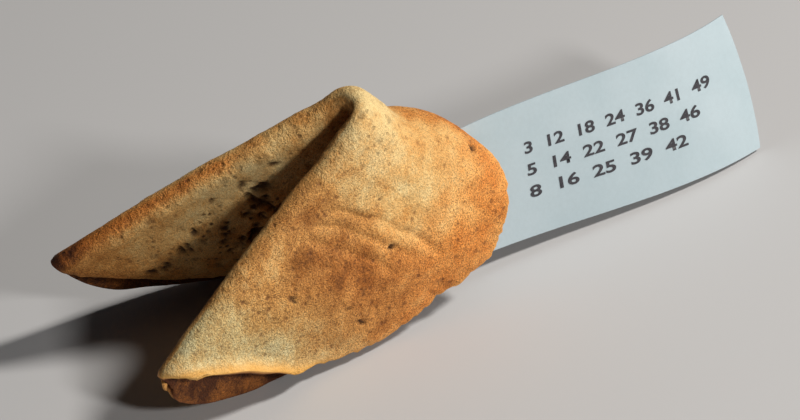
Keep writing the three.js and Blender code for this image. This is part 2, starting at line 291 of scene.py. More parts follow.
def stand_off(station, from_fold, share, fold_radius, hairpin, layer, angle, span):
    """How far a layer stands off the middle surface of the folded wafer."""
    at_pinch = bell(station, 0, PINCH_REACH)
    wing = clamp(1 - (station / span) ** 2, 0, 1)
    body = math.sin(math.pi * share ** BELLY_TOWARDS_RIM) * smooth(from_fold, *BELLY_OVER) * wing
    towards_rim = smooth(share, *RIM_GAP_SHARE_OVER) * smooth(from_fold, *RIM_GAP_OVER)
    fold = fold_radius * math.sin(hairpin) * (1 - towards_rim)
    lift = PINCH_LIFT * bell(station, 0, PINCH_WIDTH)
    lift *= 1 - PINCH_LIFT_LOST * smooth(from_fold, *PINCH_LIFT_LOST_OVER)
    if layer > 0:
        belly = OUTER_BELLY * (1 - OUTER_BELLY_LOST_AT_PINCH * at_pinch)
        pocket = POCKET_GAP * smooth(-station, *POCKET_OVER) * bell(angle, *POCKET_AT)
        mouth = MOUTH_WIDTH * bell(angle, *MOUTH_AT)
        flare = lip_flare(station, from_fold) if station < 0 else 0
    else:
        belly = INNER_BELLY + (INNER_BELLY_FAR - INNER_BELLY) * smooth(station, *INNER_BELLY_FAR_OVER)
        belly *= 1 - at_pinch
        pocket, mouth, flare = 0, 0, 0
    rim = (RIM_GAP / 2 + pocket + mouth) * towards_rim
    return lift + layer * (fold + rim + belly * body) + flare + surface_ripple(station, from_fold, layer)


def row_fan(angle):
    """Rows start closer to the middle of the fold than they end, so that they meet the rim squarely."""
    from_tip = clamp((min(angle, 180 - angle) - TIP_ANGLE) / ROW_FAN_OVER, 0, 1)
    return 1 - ROW_FAN * math.sin(math.pi / 2 * from_tip)


def fold_radius_at(station, along):
    """Radius of the hairpin, whose share of the way to the tip is given too."""
    radius = FOLD_RADIUS_MIDDLE + (FOLD_RADIUS_TIP - FOLD_RADIUS_MIDDLE) * along * along
    return radius - CREST_SQUEEZE * bell(station, *CREST_SQUEEZE_AT)


def crest_shift(station, from_fold, layer):
    """How far the bend's ridge lies above (+) or below (-) the plain bend."""
    if layer > 0:
        rise = SPINE_RISE_OUTER * smooth(from_fold, *SPINE_RISE_OVER) * bell(station, *SPINE_RISE_AT)
        return rise - SPINE_SADDLE * bell(from_fold, *SPINE_SADDLE_AT) * bell(station, 0, PINCH_WIDTH)
    return -SPINE_SAG_INNER * smooth(from_fold, *SPINE_SAG_OVER) * bell(station, *SPINE_SAG_AT)


def wafer_point(angle, share, layer, reach):
    """A point of the wafer's middle surface, with its station and its distance from the fold."""
    span = arm_length(angle)
    turn_in = math.radians(angle)
    fold_station = -span * math.cos(turn_in) * row_fan(angle)
    rim_station = -reach * math.cos(turn_in)
    station = fold_station + (rim_station - fold_station) * share
    from_fold = reach * math.sin(turn_in) * share

    along = clamp(abs(station) / span, 0, 1)
    fold_radius = fold_radius_at(station, along)
    quarter = fold_radius * math.pi / 2
    hairpin = min(from_fold, quarter) / fold_radius
    straight = max(from_fold - quarter, 0)
    bow = FOLD_BOW * 4 * along * (1 - along) * (1 - FOLD_BOW_LOST_AT_RIM * share)
    past_corner = math.hypot(station, FOLD_CORNER_EASE) - FOLD_CORNER_EASE
    shear = math.tan(math.radians(FOLD_ANGLE_PAST_SQUARE)) * past_corner
    along_spine = fold_radius * (1 - math.cos(hairpin)) + straight - shear - bow
    forward = CREST_FORWARD * bell(station, *CREST_FORWARD_AT)
    along_spine -= forward * (1 - smooth(from_fold, *CREST_FORWARD_LOST_OVER))
    off = stand_off(station, from_fold, share, fold_radius, hairpin, layer, angle, span)

    rim_bend = BEND_RADIUS_OUTER_RIM if layer > 0 else BEND_RADIUS_INNER_RIM
    towards_rim = smooth(from_fold, *BEND_RADIUS_OVER)
    bend_radius = BEND_RADIUS_AT_FOLD + (rim_bend - BEND_RADIUS_AT_FOLD) * towards_rim
    bend_length = bend_radius * BEND_TURN
    turn = clamp(station / bend_length, -1, 1) * BEND_TURN
    past = max(abs(station) - bend_length, 0)
    side = math.copysign(1, station)
    across = -(bend_radius + off) * math.sin(turn) - side * past * math.cos(BEND_TURN)
    drop = bend_radius * (1 - math.cos(turn)) + past * math.sin(BEND_TURN)
    up = off * math.cos(turn) - drop + crest_shift(station, from_fold, layer)
    return AXIS_X * across + SPINE_WAY * along_spine + CREST_WAY * up, station, from_fold


def placed(point):
    """From the fold's own frame to the resting place, in metres."""
    return (LEAN_TURN @ point + CREST_AT) * MM


# ---------------------------------------------------------------- small helpers
def deselect_all():
    bpy.ops.object.select_all(action="DESELECT")


def take(obj):
    deselect_all()
    obj.select_set(True)
    bpy.context.view_layer.objects.active = obj


def apply_modifiers(obj):
    take(obj)
    for modifier in list(obj.modifiers):
        bpy.ops.object.modifier_apply(modifier=modifier.name)


def give_thickness(obj, name, thickness, group=""):
    """A wall of so many millimetres, half on each side, with all faces turned outwards."""
    solidify = obj.modifiers.new(name, "SOLIDIFY")
    solidify.thickness = thickness * MM
    solidify.offset = 0
    solidify.vertex_group = group
    apply_modifiers(obj)
    bpy.ops.object.mode_set(mode="EDIT")
    bpy.ops.mesh.select_all(action="SELECT")
    bpy.ops.mesh.normals_make_consistent(inside=False)
    bpy.ops.object.mode_set(mode="OBJECT")


def new_grid(name, columns, rows):
    """A flat grid, with the column and row number of each of its points."""
    deselect_all()
    bpy.ops.mesh.primitive_grid_add(x_subdivisions=columns, y_subdivisions=rows, size=2, location=(0, 0, 0))
    obj = bpy.context.object
    obj.name = name
    obj.data.name = name
    cells = [(round((v.co.x + 1) / 2 * columns), round((v.co.y + 1) / 2 * rows)) for v in obj.data.vertices]
    return obj, cells


def point_attribute(mesh, name, values):
    layer = mesh.attributes.new(name, "FLOAT", "POINT")
    layer.data.foreach_set("value", values)


def layered_noise(place, octaves):
    """Noise of several sizes, each with its height and how much finer it is."""
    return sum(height * noise.noise(place * finer) for height, finer in octaves)


# ---------------------------------------------------------------- cookie
def column_share(column, angle, reach):
    """Layer and share of the way from fold to rim, with columns closer together at the hairpin and rim."""
    way = 2 * column / COLUMNS - 1
    layer = 1 if way >= 0 else -1
    way = abs(way)
    depth = reach[layer] * math.sin(math.radians(angle))
    hairpin_share = min(FOLD_RADIUS_MIDDLE * math.pi / 2 / depth, HAIRPIN_SHARE_LIMIT)
    if way < HAIRPIN_SHARE_OF_COLUMNS:
        return layer, hairpin_share * way / HAIRPIN_SHARE_OF_COLUMNS
    rest = (way - HAIRPIN_SHARE_OF_COLUMNS) / (1 - HAIRPIN_SHARE_OF_COLUMNS)
    return layer, hairpin_share + (1 - hairpin_share) * (1 - (1 - rest) ** COLUMNS_TOWARDS_RIM)


def station_angle(row):
    way = 2 * row / STATIONS - 1
    eased = (1 - ROWS_TOWARDS_BACK) * way + ROWS_TOWARDS_BACK * math.copysign(way * way, way)
    return 90 + (90 - TIP_ANGLE) * eased


def distances_to_rim(points, layers, on_rim):
    """Distance of each point of the sheet from the rim of its own layer, in millimetres."""
    trees = {}
    for side in (-1, 1):
        rim = [p for p, layer, edge in zip(points, layers, on_rim) if edge and layer in (side, 0)]
        trees[side] = kdtree.KDTree(len(rim))
        for i, point in enumerate(rim):
            trees[side].insert(point, i)
        trees[side].balance()
    return [trees[layer or 1].find(point)[2] / MM for point, layer in zip(points, layers)]


def make_cookie():
    """The wafer, and for each point of its sheet: station, distance from the fold (+ outer, - inner layer),
    layer and distance from the rim."""
    obj, cells = new_grid("cookie_wafer", COLUMNS, STATIONS)
    mesh = obj.data
    angles = [station_angle(row) for row in range(STATIONS + 1)]
    reaches = [{side: rim_radius(angle, side) for side in (-1, 1)} for angle in angles]
    flat = []
    layers = []
    on_rim = []
    for vertex, (column, row) in zip(mesh.vertices, cells):
        angle = angles[row]
        layer, share = column_share(column, angle, reaches[row])
        point, station, from_fold = wafer_point(angle, share, layer, reaches[row][layer])
        vertex.co = placed(point)
        at_end = row in (0, STATIONS)
        flat.append((station, layer * from_fold, layer))
        layers.append(0 if at_end else layer)
        on_rim.append(at_end or column in (0, COLUMNS))
    to_rims = distances_to_rim([v.co.copy() for v in mesh.vertices], layers, on_rim)
    sheet = [(*place, to_rim) for place, to_rim in zip(flat, to_rims)]

    wall = obj.vertex_groups.new(name="wall")
    for vertex, (station, fold_side, _, to_rim) in zip(mesh.vertices, sheet):
        inwards = clamp(to_rim / RIM_ROUNDING, 0, 1)
        round_rim = math.sqrt(1 - (1 - inwards) ** 2)
        left = RIM_LEFT_AT_EDGE + (LIP_LEFT_AT_EDGE - RIM_LEFT_AT_EDGE) * on_lip(station, fold_side)
        wall.add([vertex.index], left + (1 - left) * round_rim, "REPLACE")
    give_thickness(obj, "wall", WAFER_THICKNESS, "wall")
    obj.vertex_groups.clear()
    return obj, sheet


cookie, sheet = make_cookie()
points_in_sheet = len(sheet)
wafer_mesh = cookie.data
assert len(wafer_mesh.vertices) == 2 * points_in_sheet

# Points well down the near wing's outer layer tell which of the two skins faces outwards
SKIN_TEST_EVERY = 97
SKIN_TEST_STATION = -12
SKIN_TEST_TO_RIM = 3


def outside_first():
    """True where the first of the two skins is the one that faces out of the pocket."""
    votes = 0
    for i in range(0, points_in_sheet, SKIN_TEST_EVERY):
        station, _, layer, to_rim = sheet[i]
        if layer > 0 and station < SKIN_TEST_STATION and to_rim > SKIN_TEST_TO_RIM:
            first, second = wafer_mesh.vertices[i], wafer_mesh.vertices[i + points_in_sheet]
            votes += 1 if first.co.x > second.co.x else -1
    return votes > 0


FIRST_IS_OUTSIDE = outside_first()


# ---------------------------------------------------------------- relief and baking of the wafer
# Craters that stand alone: station along the fold, distance from it (+ outer, - inner layer), radius, depth
CRATERS = [
    (13.6, -2.7, 0.6, 0.4), (17.1, -5.5, 0.85, 0.55), (18.3, -3.4, 0.7, 0.35), (19.1, -5.5, 0.5, 0.4),
    (19.4, -6.6, 0.6, 0.55), (19.2, -7.7, 0.65, 0.6), (18.9, -8.8, 0.65, 0.6), (18.2, -9.8, 0.6, 0.5),
    (20.6, -9.4, 0.6, 0.5), (23.3, -11.9, 1.2, 0.9), (24.6, -12.4, 0.7, 0.5),
    (27.4, -12.3, 0.6, 0.4), (29.8, -8.6, 0.5, 0.3), (34.0, -9.6, 0.7, 0.35), (35.7, -9.4, 0.75, 0.35),
    (-2.1, 17.6, 0.45, 0.45), (-9.7, 8.4, 0.35, 0.25), (-14.4, 13.6, 0.4, 0.3), (-24.2, 17.7, 0.45, 0.3),
    (-24.6, 7.7, 0.45, 0.25), (-23.0, 14.5, 0.35, 0.2),
]

# Scattered pores. A gauss pair is middle and spread, the others are lowest and highest.
PORE_SEED = 41
CLUSTER_PORES = 24
CLUSTER_STATION_GAUSS = (23.5, 3.6)
CLUSTER_FOLD_SIDE_GAUSS = (-9.5, 3.0)
CLUSTER_RADIUS = (0.4, 0.65)
CLUSTER_DEPTH = (0.2, 0.4)
STRAY_PORES = 14
STRAY_STATION = (6, 36)
STRAY_FROM_FOLD_GAUSS = (8, 5)
STRAY_RADIUS = (0.4, 0.6)
STRAY_DEPTH = (0.1, 0.2)

# Shape of a pore: longer one way than the other, uneven round its edge
PORE_STRETCH = 1.38
PORE_SEARCH = 2
PORE_OVAL = 0.22
PORE_RAGGED = 0.12
PORE_WOBBLE = (0, 6.28)
PORE_WALL_OVER = (0.6, 1.1)
# Depth of a pore from which its painted shade is full
PORE_FULL_SHADE_DEPTH = 0.3
NEAR_PORE_WAY = (-0.4, 0.92)
FAR_PORE_WAY = (0.51, -0.86)
FAR_PORES_FROM = 3

# Creases across the near wing, below the crest: station, reach from the fold, depth
CREASES = [(-12.2, 15, 0.36), (-14.4, 12, 0.30), (-16.8, 13, 0.24)]
CREASE_WIDTH = 0.5
CREASE_CURVE = 0.012
CREASE_CURVE_FROM = 12
CREASE_WANDER = 0.5
CREASE_WANDER_WAVES = 0.35
CREASE_STARTS_OVER = (2.5, 6)
CREASE_ENDS_OVER = (2, 7)

rng = random.Random(PORE_SEED)


def scattered_pores():
    pores = []
    for _ in range(CLUSTER_PORES):
        place = (rng.gauss(*CLUSTER_STATION_GAUSS), rng.gauss(*CLUSTER_FOLD_SIDE_GAUSS))
        pores.append((*place, rng.uniform(*CLUSTER_RADIUS), rng.uniform(*CLUSTER_DEPTH)))
    for _ in range(STRAY_PORES):
        place = (rng.uniform(*STRAY_STATION), -abs(rng.gauss(*STRAY_FROM_FOLD_GAUSS)))
        pores.append((*place, rng.uniform(*STRAY_RADIUS), rng.uniform(*STRAY_DEPTH)))
    return pores


def surface_relief():
    """Relief in millimetres and painted shade in the pits, darker the deeper the pit, for every point of the
    outside skin.
    """
    tree = kdtree.KDTree(points_in_sheet)
    for i, (station, fold_side, _, _) in enumerate(sheet):
        tree.insert((station, fold_side, 0), i)
    tree.balance()
    relief = [0.0] * points_in_sheet
    painted_pit_shade = [0.0] * points_in_sheet
    for station, fold_side, radius, depth in CRATERS + scattered_pores():
        wobble = rng.uniform(*PORE_WOBBLE)
        way = NEAR_PORE_WAY if station < FAR_PORES_FROM else FAR_PORE_WAY
        for co, i, _ in tree.find_range((station, fold_side, 0), radius * PORE_SEARCH):
            lengthwise = ((co.x - station) * way[0] + (co.y - fold_side) * way[1]) / PORE_STRETCH
            crosswise = ((co.y - fold_side) * way[0] - (co.x - station) * way[1]) * PORE_STRETCH
            bearing = math.atan2(crosswise, lengthwise)
            uneven = 1 + PORE_OVAL * math.sin(2 * bearing + wobble)
            uneven += PORE_RAGGED * math.sin(5 * bearing + 2 * wobble)
            outwards = math.hypot(lengthwise, crosswise) / (radius * uneven)
            inside = 1 - smooth(outwards, *PORE_WALL_OVER)
            relief[i] -= depth * inside
            # Painted shade in the pore, darker the deeper it is
            painted_pit_shade[i] = max(painted_pit_shade[i], inside * min(1, depth / PORE_FULL_SHADE_DEPTH))
    return relief, painted_pit_shade


def creases(station, fold_side):
    """Relief in millimetres of the shallow curved creases across the near wing."""
    if fold_side < 0:
        return 0
    depth_here = 0
    for k, (start, reach_in, depth) in enumerate(CREASES):
        wander = CREASE_WANDER * noise.noise(Vector((fold_side * CREASE_WANDER_WAVES, k, 0)))
        middle = start - CREASE_CURVE * (fold_side - CREASE_CURVE_FROM) ** 2 + wander
        fade_from, fade_to = (reach_in + further for further in CREASE_ENDS_OVER)
        fade = smooth(fold_side, *CREASE_STARTS_OVER) * (1 - smooth(fold_side, fade_from, fade_to))
        depth_here += depth * fade * bell(station, middle, CREASE_WIDTH)
    return -depth_here


pit_relief, pit_painted_shade = surface_relief()

# How much each part of the crust is browned and toasted orange, and where it lies; the inside entries are no
# browning but painted shade in the pocket, darkest towards the tips. Depth is the distance from the fold,
# down is the distance along the near wing, and a value ending in PER is the distance from the rim over which
# an effect dies away.
BAKED_AND_PAINTED_SHADE = {
    "plain": 0.24, "patches": 0.05, "back rim": 0.10, "behind crest": 0.24, "low wing": 0.56,
    "near tip": -0.08, "beside fold": 0.12, "near fold": 0.05, "crest": -0.30, "near inner layer": 0.15,
    "far wing": 0.08, "far rim": 0.10, "far middle": -0.16, "far tip": 0.34, "far fold": 0.26,
    "inside": 0.70, "inside tips painted shade": 0.3, "inside patches": 0.1,
}
TOASTED = {
    "plain": 0.12, "patches": 0.25, "back rim": 0.80, "behind crest": 0.5, "low wing": 0.25,
    "near rim": 0.55, "near tip": -0.3, "far fold": 0.9, "far wing": -0.12, "inside": 0.4,
}
PATCH_SCALE = 0.11
PATCH_OUTSIDE_PLACE = 3.0
PATCH_INSIDE_PLACE = 9.0
PATCH_OCTAVES = [(1, 1), (0.6, 2.4), (0.3, 6)]
TINT_SCALE = 1.3
TINT_PLACE = Vector((5, 5, 5))
ON_FAR_OVER = (0, 6)
INSIDE_TIPS_PAINTED_SHADE_OVER = (24, 35)
BACK_RIM_DEPTH_OVER = (13, 23)
BACK_RIM_DOWN_OVER = (12, 20)
BEHIND_CREST_OVER = (-1.5, 1.0)
BEHIND_CREST_DEPTH_OVER = (7, 10)
LOW_WING_OVER = (8, 20)
LOW_WING_END_OVER = (26, 34)
LOW_WING_DEPTH_OVER = (2, 12)
LOW_WING_AT_FOLD = 0.5
LOW_WING_PALE_AT_RIM = 0.95
LOW_WING_PALE_PER = 8.5
NEAR_RIM_PER = 4
NEAR_RIM_END_OVER = (27, 33)
NEAR_TIP_OVER = (24, 32)
NEAR_TIP_TOAST_OVER = (20, 28)
BESIDE_FOLD_DEPTH_AT = (2, 4)
BESIDE_FOLD_OVER = (3, 9)
BESIDE_FOLD_END_OVER = (14, 20)
NEAR_FOLD_DEPTH_OVER = (6, 14)
CREST_PALE_AT = (0, 6)
CREST_PALE_DEPTH_OVER = (3, 12)
FAR_FOLD_OVER = (8, 22)
FAR_FOLD_DEPTH_OVER = (0, 1.3)
FAR_RIM_PER = 3
FAR_MIDDLE_AT = (20, 7)
FAR_MIDDLE_DEPTH_OVER = (4, 9)
FAR_TIP_OVER = (33, 41)


def near_outer_bake(station, depth, to_rim):
    """Browning and toasting that the near wing's outer layer has on top of the plain crust."""
    down = -station
    back_rim = smooth(depth, *BACK_RIM_DEPTH_OVER) * (1 - smooth(down, *BACK_RIM_DOWN_OVER))
    behind_crest = smooth(station, *BEHIND_CREST_OVER) * smooth(depth, *BEHIND_CREST_DEPTH_OVER)
    low = smooth(down, *LOW_WING_OVER) * (1 - smooth(down, *LOW_WING_END_OVER))
    low_depth = LOW_WING_AT_FOLD + (1 - LOW_WING_AT_FOLD) * smooth(depth, *LOW_WING_DEPTH_OVER)
    pale_rim = 1 - LOW_WING_PALE_AT_RIM * math.exp(-to_rim / LOW_WING_PALE_PER)
    by_rim = math.exp(-to_rim / NEAR_RIM_PER)
    beside_fold = bell(depth, *BESIDE_FOLD_DEPTH_AT) * smooth(down, *BESIDE_FOLD_OVER)
    beside_fold *= 1 - smooth(down, *BESIDE_FOLD_END_OVER)

    bake = BAKED_AND_PAINTED_SHADE["back rim"] * back_rim + BAKED_AND_PAINTED_SHADE["behind crest"] * behind_crest
    bake += BAKED_AND_PAINTED_SHADE["low wing"] * low * low_depth * pale_rim
    bake += BAKED_AND_PAINTED_SHADE["near tip"] * smooth(down, *NEAR_TIP_OVER)
    bake += BAKED_AND_PAINTED_SHADE["beside fold"] * beside_fold
    bake += BAKED_AND_PAINTED_SHADE["near fold"] * (1 - smooth(depth, *NEAR_FOLD_DEPTH_OVER))
    bake += BAKED_AND_PAINTED_SHADE["crest"] * bell(station, *CREST_PALE_AT) * (1 - smooth(depth, *CREST_PALE_DEPTH_OVER))
    toast = TOASTED["back rim"] * back_rim + TOASTED["behind crest"] * behind_crest
    toast += TOASTED["low wing"] * low
    toast += TOASTED["near rim"] * by_rim * (1 - smooth(down, *NEAR_RIM_END_OVER))
    toast += TOASTED["near tip"] * smooth(down, *NEAR_TIP_TOAST_OVER) * (1 - by_rim)
    return bake, toast


def far_bake(station, depth, to_rim, on_far):
    """Browning and toasting that the far wing has on top of the plain crust."""
    along_fold = smooth(station, *FAR_FOLD_OVER) * (1 - smooth(depth, *FAR_FOLD_DEPTH_OVER))
    pale = bell(station, *FAR_MIDDLE_AT) * (1 - smooth(depth, *FAR_MIDDLE_DEPTH_OVER))
    bake = (BAKED_AND_PAINTED_SHADE["far wing"] + BAKED_AND_PAINTED_SHADE["far rim"] * math.exp(-to_rim / FAR_RIM_PER)) * on_far
    bake += BAKED_AND_PAINTED_SHADE["far middle"] * pale
    bake += BAKED_AND_PAINTED_SHADE["far tip"] * smooth(station, *FAR_TIP_OVER) + BAKED_AND_PAINTED_SHADE["far fold"] * along_fold
    return bake, TOASTED["far fold"] * along_fold + TOASTED["far wing"] * on_far


def bake_and_painted_shade_amount(station, fold_side, layer, to_rim, outside):
    """How far the wafer is browned, from 0 (pale) to 1 (dark brown), and how orange it is toasted; on the
    inside skins the value is painted shade, darkest towards the tips.
    """
    depth = abs(fold_side)
    noise_height = PATCH_OUTSIDE_PLACE if outside else PATCH_INSIDE_PLACE
    place = Vector((station * PATCH_SCALE, fold_side * PATCH_SCALE, noise_height))
    patch = layered_noise(place, PATCH_OCTAVES)
    # Inside skins: painted shade in the pocket, dark brown and darker towards the tips
    if not outside:
        bake = BAKED_AND_PAINTED_SHADE["inside"] + BAKED_AND_PAINTED_SHADE["inside tips painted shade"] * smooth(abs(station), *INSIDE_TIPS_PAINTED_SHADE_OVER)
        return clamp(bake + BAKED_AND_PAINTED_SHADE["inside patches"] * patch, 0, 1), TOASTED["inside"]
    bake = BAKED_AND_PAINTED_SHADE["plain"] + BAKED_AND_PAINTED_SHADE["patches"] * patch
    toast = TOASTED["plain"] + TOASTED["patches"] * noise.noise(place * TINT_SCALE + TINT_PLACE)
    on_far = smooth(station, *ON_FAR_OVER)
    if layer > 0:
        near_bake, near_toast = near_outer_bake(station, depth, to_rim)
        bake += near_bake * (1 - on_far)
        toast += near_toast * (1 - on_far)
    elif station <= 0:
        bake += BAKED_AND_PAINTED_SHADE["near inner layer"] * (1 - on_far)
    if station > 0:
        more_bake, more_toast = far_bake(station, depth, to_rim, on_far)
        bake += more_bake
        toast += more_toast
    return clamp(bake, 0, 1), clamp(toast, 0, 1)


# Painted shade with a painted bluish reflection: the crust made darker and bluish-grey towards the near tip
# and along the near fold
PAINTED_SHADE_AT_TIP = 0.75
PAINTED_SHADE_AT_TIP_OVER = (20, 31)
PAINTED_SHADE_OFF_RIM_PER = 1.4
PAINTED_SHADE_BY_FOLD = 0.35
PAINTED_SHADE_BY_FOLD_OVER = (2, 8)
PAINTED_SHADE_BY_FOLD_DEPTH_OVER = (4, 12)


def painted_shade_amount(station, fold_side, to_rim):
    """Painted shade with a painted bluish reflection on the crust: most towards the near tip, some along the
    near fold.
    """
    if station > 0 or fold_side < 0:
        return 0
    off_rim = 1 - math.exp(-to_rim / PAINTED_SHADE_OFF_RIM_PER)
    at_tip = PAINTED_SHADE_AT_TIP * smooth(-station, *PAINTED_SHADE_AT_TIP_OVER) * off_rim
    by_fold = PAINTED_SHADE_BY_FOLD * smooth(-station, *PAINTED_SHADE_BY_FOLD_OVER)
    return max(at_tip, by_fold * (1 - smooth(fold_side, *PAINTED_SHADE_BY_FOLD_DEPTH_OVER)))


POCKED_EVERYWHERE = 0.12
POCKED_FAR = 0.15
POCKED_FAR_OVER = (4, 12)
POCKED_FAR_END_OVER = (34, 38)
POCKED_CLUSTER = 0.9
POCKED_CLUSTER_PLACE = (22.5, -9.5)
POCKED_CLUSTER_LENGTHWISE = 0.8
POCKED_CLUSTER_SIZE = 6
POCKED_CREST = 0.3
POCKED_CREST_PLACE = (-1.5, 2)
POCKED_CREST_SIZE = 5


def pocked_amount(station, fold_side):
    """How thickly small pits are strewn: densest on the far wing, well below the crest."""
    along = (station - POCKED_CLUSTER_PLACE[0]) * POCKED_CLUSTER_LENGTHWISE
    from_cluster = math.hypot(along, fold_side - POCKED_CLUSTER_PLACE[1])
    from_crest = math.hypot(station - POCKED_CREST_PLACE[0], fold_side - POCKED_CREST_PLACE[1])
    amount = POCKED_EVERYWHERE
    amount += POCKED_FAR * smooth(station, *POCKED_FAR_OVER) * (1 - smooth(station, *POCKED_FAR_END_OVER))
    amount += POCKED_CLUSTER * bell(from_cluster, 0, POCKED_CLUSTER_SIZE)
    amount += POCKED_CREST * bell(from_crest, 0, POCKED_CREST_SIZE)
    return clamp(amount, 0, 1)


EDGE_BAND = 0.4
LIP_BAND = 1.3
EDGE_INSIDE = 0.35
ROUGH_OCTAVES = [(0.14, 0.26), (0.08, 0.65), (0.05, 1.5)]
ROUGH_SECOND_SKIN_PLACE = 11.0
ROUGH_FROM_RIM_OVER = (-0.2, 1.2)
GRIT_PLAIN = 0.4
GRIT_FROM_TOAST = 0.5
GRIT_FROM_BAKE = 0.7
GRIT_FROM_PAINTED_SHADE = 0.4


def finish_skins():
    """Relief of both skins, and the attributes that the wafer's material reads."""
    names = ("bake", "pit_shade", "edge", "toast", "pocked", "painted_shade", "grit")
    looks = {name: [0.0] * (2 * points_in_sheet) for name in names}
    normals = [v.normal.copy() for v in wafer_mesh.vertices]
    for i, (station, fold_side, layer, to_rim) in enumerate(sheet):
        for skin in (0, 1):
            index = i + skin * points_in_sheet
            outside = (skin == 0) == FIRST_IS_OUTSIDE
            spot = Vector((station, fold_side, ROUGH_SECOND_SKIN_PLACE * skin))
            rough = layered_noise(spot, ROUGH_OCTAVES)
            if outside:
                rough += pit_relief[i] + creases(station, fold_side)
            rough *= smooth(to_rim, *ROUGH_FROM_RIM_OVER)
            vertex = wafer_mesh.vertices[index]
            vertex.co += normals[index] * rough * MM
            vertex.co.z = max(vertex.co.z, 0)

            bake, toast = bake_and_painted_shade_amount(station, fold_side, layer, to_rim, outside)
            # Painted shade and painted bluish reflection, on the outside skin only
            painted_shade = painted_shade_amount(station, fold_side, to_rim) if outside else 0
            band = EDGE_BAND + (LIP_BAND - EDGE_BAND) * on_lip(station, fold_side)
            grit = GRIT_PLAIN + GRIT_FROM_TOAST * toast + GRIT_FROM_BAKE * bake + GRIT_FROM_PAINTED_SHADE * painted_shade
            # bake holds browning, and painted shade on the inside skins
            looks["bake"][index] = bake
            looks["toast"][index] = toast
            looks["painted_shade"][index] = painted_shade
            looks["grit"][index] = clamp(grit, 0, 1)
            looks["edge"][index] = bell(to_rim, 0, band) * (1 if outside else EDGE_INSIDE)
            looks["pit_shade"][index] = pit_painted_shade[i] if outside else 0
            looks["pocked"][index] = pocked_amount(station, fold_side) if outside else 0
    for name in names:
        point_attribute(wafer_mesh, name, looks[name])
    wafer_mesh.polygons.foreach_set("use_smooth", [True] * len(wafer_mesh.polygons))
    wafer_mesh.update()


finish_skins()


# ---------------------------------------------------------------- paper slip
def slip_point(along, across_slip):
    """A point of the slip's middle surface: along from where it leaves the pocket, across from its middle."""
    half = math.radians(HALF_OPENING)
    arm = AXIS_X * math.sin(half) - CREST_WAY * math.cos(half)
    outward = AXIS_X * math.cos(half) + CREST_WAY * math.sin(half)
    bend_length = BEND_RADIUS_AT_FOLD * BEND_TURN
    wing_start = AXIS_X * (BEND_RADIUS_AT_FOLD * math.sin(BEND_TURN) - bend_length * math.cos(BEND_TURN))
    wing_rise = bend_length * math.sin(BEND_TURN) - BEND_RADIUS_AT_FOLD * (1 - math.cos(BEND_TURN))
    wing_start += CREST_WAY * wing_rise
    turn = math.radians(SLIP_TURN)
    length_way = SPINE_WAY * math.cos(turn) - arm * math.sin(turn)
    width_way = SPINE_WAY * math.sin(turn) + arm * math.cos(turn)
    outside = max(along - SLIP_CURL_FROM, 0)
    twist = math.radians(SLIP_TWIST_START + SLIP_TWIST_PER_MM * outside)
    curl = SLIP_CURL * outside ** 2 / 2 - SLIP_CURL_FADE * outside ** 3 / 6
    off_sheet = curl + across_slip * math.sin(twist)
    lean_in = math.radians(SLIP_LEAN_IN)
    point = wing_start + arm * SLIP_ALONG_WING + SPINE_WAY * SLIP_ALONG_SPINE
    point += outward * (SLIP_OFFSET - along * math.sin(lean_in) + off_sheet * math.cos(lean_in))
    point += length_way * (along * math.cos(lean_in) + off_sheet * math.sin(lean_in))
    return placed(point + width_way * across_slip * math.cos(twist))


def slip_normal(along, across_slip):
    step = SLIP_NORMAL_STEP
    along_way = slip_point(along + step, across_slip) - slip_point(along - step, across_slip)
    across_way = slip_point(along, across_slip + step) - slip_point(along, across_slip - step)
    return along_way.cross(across_way).normalized()


def slip_surface(along, across, lift):
    """A point of the cockled paper, lifted off its middle by so many millimetres."""
    along += SLIP_END_BULGE * smooth(along, *SLIP_END_BULGE_OVER) * (1 - (2 * across / SLIP_WIDTH) ** 2)
    waves_along, waves_across = SLIP_COCKLE_WAVES
    place = Vector((along * waves_along, across * waves_across, SLIP_COCKLE_PLACE))
    cockle = SLIP_COCKLE * noise.noise(place)
    return slip_point(along, across) + slip_normal(along, across) * (cockle + lift) * MM


def make_slip():
    obj, cells = new_grid("paper_slip", SLIP_COLUMNS, SLIP_ROWS)
    for vertex, (column, row) in zip(obj.data.vertices, cells):
        along = -SLIP_INSIDE + (SLIP_INSIDE + SLIP_OUTSIDE) * row / SLIP_ROWS
        across = SLIP_WIDTH * (column / SLIP_COLUMNS - 0.5)
        vertex.co = slip_surface(along, across, 0)
    give_thickness(obj, "paper", SLIP_THICKNESS)
    bpy.ops.object.shade_smooth_by_angle(angle=math.radians(SLIP_SMOOTH_BELOW))
    return obj


def make_number_row(text, length, across, face_side):
    """One row of raised print that follows the paper's curl."""
    deselect_all()
    bpy.ops.object.text_add(location=(0, 0, 0))
    row = bpy.context.object
    row.data.body = text
    row.data.size = NUMBER_SIZE
    row.data.offset = NUMBER_BOLDNESS
    row.data.resolution_u = NUMBER_CURVE_STEPS
    bpy.ops.object.convert(target="MESH")
    row = bpy.context.object
    width = max(v.co.x for v in row.data.vertices)
    for vertex in row.data.vertices:
        along = NUMBER_START + vertex.co.x * length / width
        sideways = across - vertex.co.y + NUMBER_ROW_SLOPE * (along - NUMBER_START)
        vertex.co = slip_surface(along, sideways, face_side * (SLIP_THICKNESS / 2 + NUMBER_LIFT))
    return row


def make_numbers():
    """The printed side is the one that faces +X, away from the cookie's far wing."""
    face_side = 1 if slip_normal(SLIP_OUTSIDE / 2, 0).x > 0 else -1
    rows = [make_number_row(text, length, across, face_side) for text, length, across in NUMBER_ROWS]
    take(rows[0])
    for row in rows[1:]:
        row.select_set(True)
    bpy.ops.object.join()
    joined = bpy.context.object
    joined.name = "slip_numbers"
    joined.data.name = "slip_numbers"
    return joined


slip = make_slip()
numbers = make_numbers()


